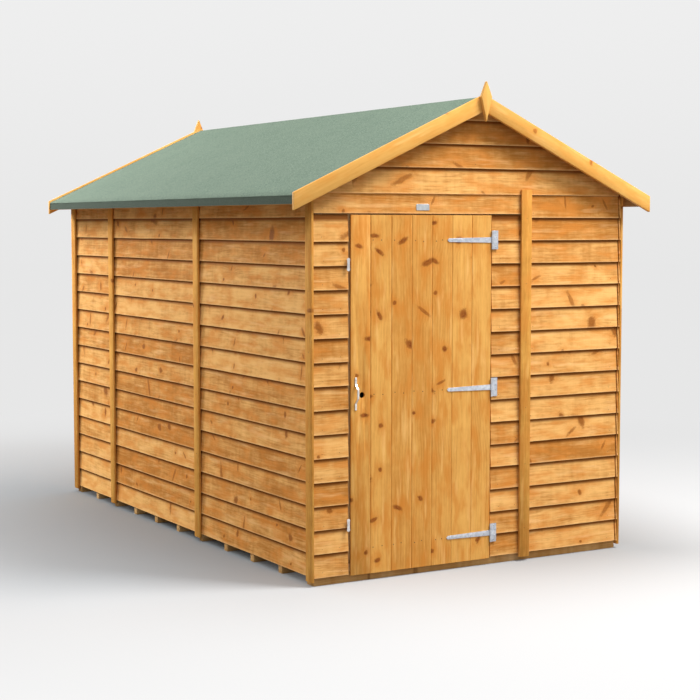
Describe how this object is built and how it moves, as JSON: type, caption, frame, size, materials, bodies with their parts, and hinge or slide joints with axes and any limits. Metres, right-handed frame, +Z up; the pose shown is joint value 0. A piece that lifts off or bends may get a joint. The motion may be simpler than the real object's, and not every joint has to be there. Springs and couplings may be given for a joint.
{
  "type": "wooden garden shed",
  "caption": "Hollow apex-roof garden shed with overlap boarded walls, felted roof, timber floor and a hinged boarded door in the gable.",
  "frame": {"origin": "on the ground under the middle of the shed", "axes": "+Z up, -Y out of the door gable, +X to the right of a person facing the door"},
  "size_m": [2.044, 3.234, 2.3285],
  "materials": {
    "cladding_timber": "rough sawn softwood, golden brown dip treatment",
    "trim_timber": "sawn softwood strips, golden brown",
    "barge_timber": "smooth planed softwood, pale golden",
    "door_timber": "planed tongued and grooved softwood, golden brown",
    "frame_timber": "sawn softwood framing",
    "floor_timber": "sawn softwood",
    "roof_boards": "sawn softwood boards",
    "roof_felt": "green mineral faced roofing felt",
    "zinc_plate": "zinc plated steel",
    "bright_zinc": "bright zinc plated steel"
  },
  "bodies": {
    "root": {"back_barge_board_left": "barge_timber", "back_barge_board_right": "barge_timber", "back_wall_gable": "cladding_timber", "back_wall_left_panel": "cladding_timber", "back_wall_rails": "frame_timber", "back_wall_right_panel": "cladding_timber", "back_wall_studs": "frame_timber", "finials": "barge_timber", "floor_bearers": "floor_timber", "floor_boards": "floor_timber", "front_barge_board_left": "barge_timber", "front_barge_board_right": "barge_timber", "front_wall_gable": "cladding_timber", "front_wall_left_of_door": "cladding_timber", "front_wall_rails": "frame_timber", "front_wall_right_of_door": "cladding_timber", "front_wall_right_panel": "cladding_timber", "front_wall_studs": "frame_timber", "gable_cover_strips": "trim_timber", "hinge_plates": "zinc_plate", "left_wall_cover_strips": "trim_timber", "left_wall_front_panel": "cladding_timber", "left_wall_middle_panel": "cladding_timber", "left_wall_rails": "frame_timber", "left_wall_rear_panel": "cladding_timber", "left_wall_studs": "frame_timber", "right_wall_cover_strips": "trim_timber", "right_wall_front_panel": "cladding_timber", "right_wall_middle_panel": "cladding_timber", "right_wall_rails": "frame_timber", "right_wall_rear_panel": "cladding_timber", "right_wall_studs": "frame_timber", "roof_boards_left": "roof_boards", "roof_boards_right": "roof_boards", "roof_felt_left": "roof_felt", "roof_felt_right": "roof_felt", "roof_purlins": "frame_timber", "turn_button_pins": "bright_zinc"},
    "door": {"door_boards": "door_timber", "door_lock_board": "door_timber", "door_ledges": "door_timber", "hinge_straps": "zinc_plate", "pull_handle": "bright_zinc"},
    "upper_button": {"turn_button_upper": "bright_zinc"},
    "lower_button": {"turn_button_lower": "bright_zinc"}
  },
  "joints": [
    {"name": "door_hinge", "type": "hinge", "parent": "root", "child": "door", "pos_m": [0.0905, -1.542, 0.872], "axis": [0, 0, 1], "range_deg": [0, 170]},
    {"name": "upper_button_turn", "type": "hinge", "parent": "root", "child": "upper_button", "pos_m": [-0.711, -1.541, 1.475], "axis": [0, 1, 0], "range_deg": [0, 90]},
    {"name": "lower_button_turn", "type": "hinge", "parent": "root", "child": "lower_button", "pos_m": [-0.711, -1.541, 0.2725], "axis": [0, 1, 0], "range_deg": [0, 90]}
  ]
}
